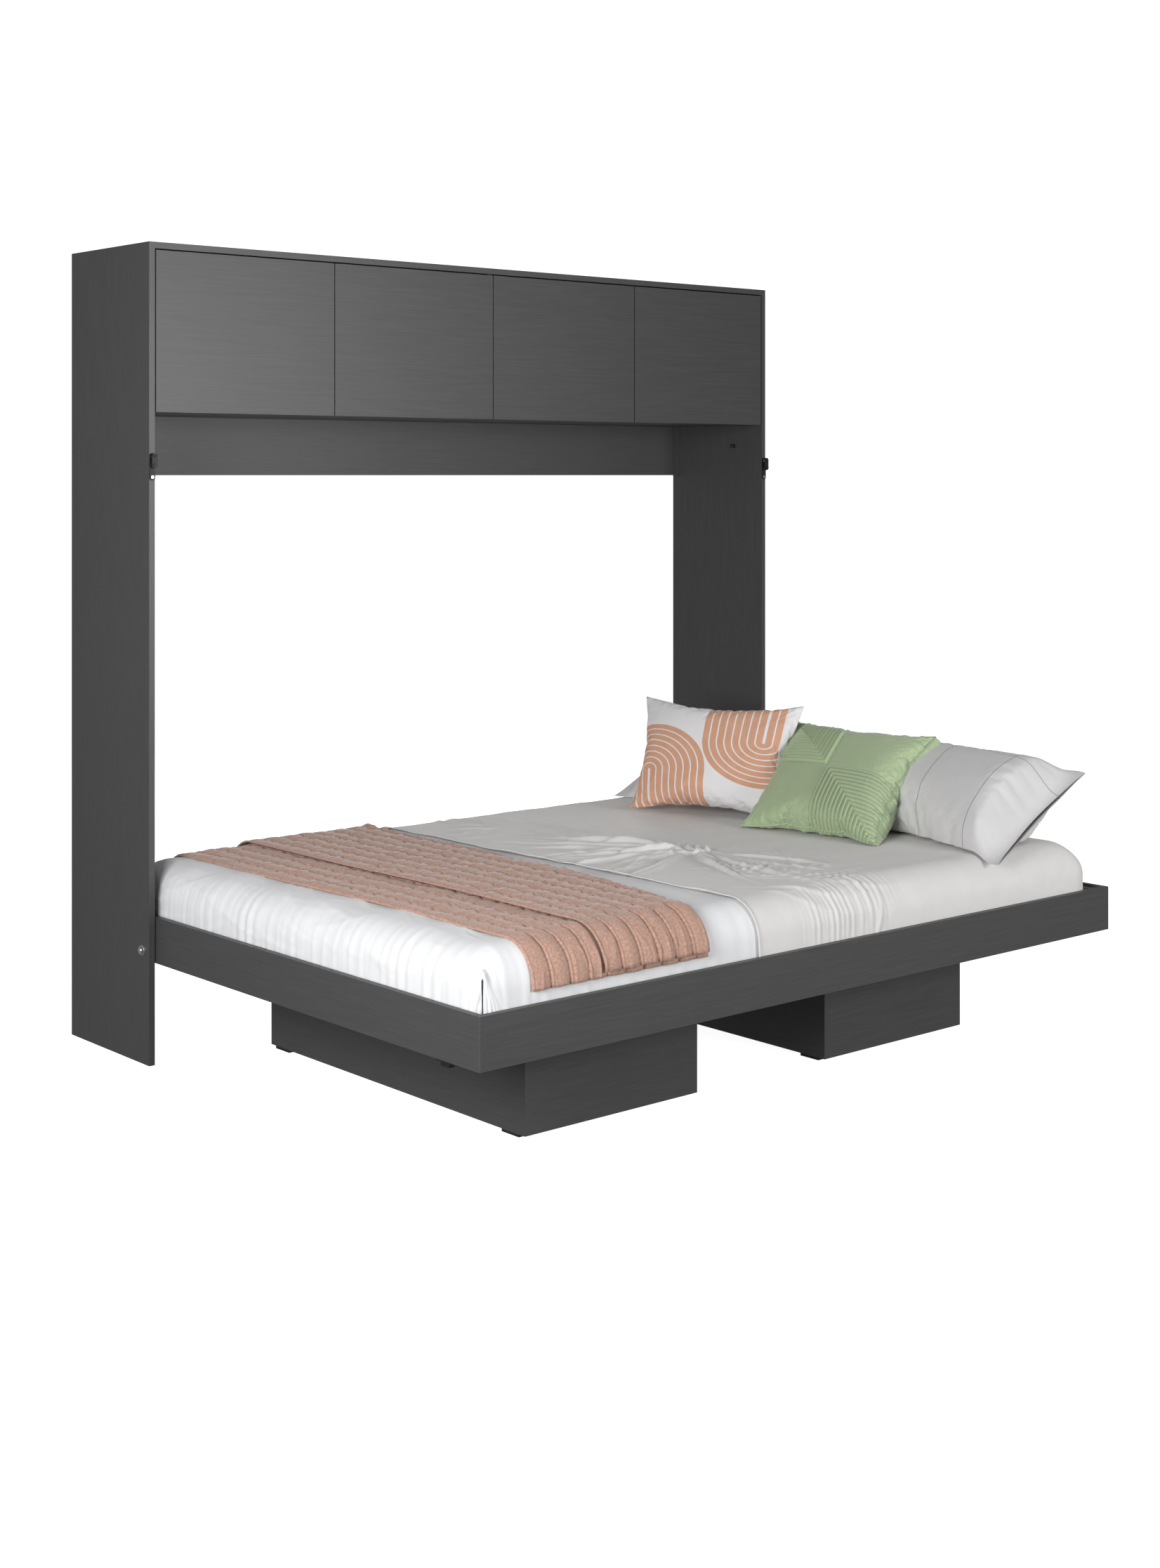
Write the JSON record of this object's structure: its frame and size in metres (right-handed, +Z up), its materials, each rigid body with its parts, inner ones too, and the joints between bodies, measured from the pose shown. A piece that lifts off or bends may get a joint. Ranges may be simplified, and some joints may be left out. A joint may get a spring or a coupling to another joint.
{
  "type": "murphy wall bed",
  "caption": "Full-size wall bed that tips up sideways into a shallow cabinet with overhead doors; two box plinths under the bed are its legs and turn into shelves.",
  "frame": {"origin": "on the floor at the centre of the whole object's plan, bed down", "axes": "+X along the wall towards the pillows, +Y from the room towards the wall, +Z up"},
  "size_m": [2.055, 1.592, 1.91],
  "materials": {
    "charcoal_laminate": "dark charcoal laminate with a fine matt wood grain",
    "hardboard": "painted hardboard",
    "zinc_steel": "zinc-plated steel",
    "chromed_steel": "bright plated steel",
    "black_steel": "black powder coat",
    "nylon": "dark nylon",
    "pad_rubber": "black rubber pad",
    "fitted_sheet": "white brushed cotton",
    "grey_sheet": "light grey cotton",
    "throw_fabric": "dusty pink-brown quilted cotton",
    "pillow_fabric": "light grey cotton",
    "green_fabric": "sage green satin with pleats",
    "print_fabric": "white cotton printed with plain arcs"
  },
  "bodies": {
    "cabinet": {"left_side_panel": "charcoal_laminate", "right_side_panel": "charcoal_laminate", "top_panel": "charcoal_laminate", "overhead_bottom_panel": "charcoal_laminate", "centre_divider": "charcoal_laminate", "overhead_back_panel": "hardboard", "hanging_rails": "charcoal_laminate", "rear_rail": "charcoal_laminate", "rear_rail_cleats": "charcoal_laminate", "cabinet_cam_locks": "zinc_steel", "cabinet_cam_dowels": "zinc_steel", "door_hinge_arms": "zinc_steel", "pivot_bolts": "zinc_steel", "pivot_washers": "chromed_steel", "pivot_cap_nuts": "chromed_steel", "pivot_spacers": "nylon", "stop_pins": "nylon", "latch_plates": "black_steel", "latch_screws": "zinc_steel"},
    "door_1_leaf": {"door_1": "charcoal_laminate", "door_1_hinge_cups": "zinc_steel"},
    "door_2_leaf": {"door_2": "charcoal_laminate", "door_2_hinge_cups": "zinc_steel"},
    "door_3_leaf": {"door_3": "charcoal_laminate", "door_3_hinge_cups": "zinc_steel"},
    "door_4_leaf": {"door_4": "charcoal_laminate", "door_4_hinge_cups": "zinc_steel"},
    "left_lever": {"left_latch_lever": "black_steel"},
    "right_lever": {"right_latch_lever": "black_steel"},
    "bed": {"front_rail": "charcoal_laminate", "wall_rail": "charcoal_laminate", "left_end_rail": "charcoal_laminate", "right_end_rail": "charcoal_laminate", "base_panel_left": "charcoal_laminate", "base_panel_centre": "charcoal_laminate", "base_panel_right": "charcoal_laminate", "bed_corner_brackets": "zinc_steel", "bracket_screws": "zinc_steel", "pivot_bushes": "nylon", "latch_keepers": "black_steel", "keeper_screws": "zinc_steel", "left_box_inner_side": "charcoal_laminate", "left_box_outer_side": "charcoal_laminate", "left_box_front_end": "charcoal_laminate", "left_box_wall_end": "charcoal_laminate", "left_box_shelves": "charcoal_laminate", "left_box_floor_pads": "pad_rubber", "right_box_inner_side": "charcoal_laminate", "right_box_outer_side": "charcoal_laminate", "right_box_front_end": "charcoal_laminate", "right_box_wall_end": "charcoal_laminate", "right_box_shelves": "charcoal_laminate", "right_box_floor_pads": "pad_rubber", "mattress": "fitted_sheet", "top_sheet": "grey_sheet", "throw_blanket": "throw_fabric", "sleeping_pillow_front": "pillow_fabric", "sleeping_pillow_rear": "pillow_fabric", "square_cushion": "green_fabric", "oblong_cushion": "print_fabric"}
  },
  "joints": [
    {"name": "bed_fold", "type": "hinge", "parent": "cabinet", "child": "bed", "pos_m": [0, 0.448, 0.2645], "axis": [-1, 0, 0], "range_deg": [0, 90]},
    {"name": "door_1_hinge", "type": "hinge", "parent": "cabinet", "child": "door_1_leaf", "pos_m": [-0.9975, 0.418, 1.70325], "axis": [0, 0, -1], "range_deg": [0, 100]},
    {"name": "door_2_hinge", "type": "hinge", "parent": "cabinet", "child": "door_2_leaf", "pos_m": [-0.0015, 0.418, 1.70325], "axis": [0, 0, 1], "range_deg": [0, 90]},
    {"name": "door_3_hinge", "type": "hinge", "parent": "cabinet", "child": "door_3_leaf", "pos_m": [0.0015, 0.418, 1.70325], "axis": [0, 0, -1], "range_deg": [0, 90]},
    {"name": "door_4_hinge", "type": "hinge", "parent": "cabinet", "child": "door_4_leaf", "pos_m": [0.9975, 0.418, 1.70325], "axis": [0, 0, 1], "range_deg": [0, 100]},
    {"name": "left_latch_turn", "type": "hinge", "parent": "cabinet", "child": "left_lever", "pos_m": [-1.0085, 0.4059, 1.39], "axis": [0, 1, 0], "range_deg": [0, 90]},
    {"name": "right_latch_turn", "type": "hinge", "parent": "cabinet", "child": "right_lever", "pos_m": [1.0085, 0.4059, 1.39], "axis": [0, -1, 0], "range_deg": [0, 90]}
  ]
}
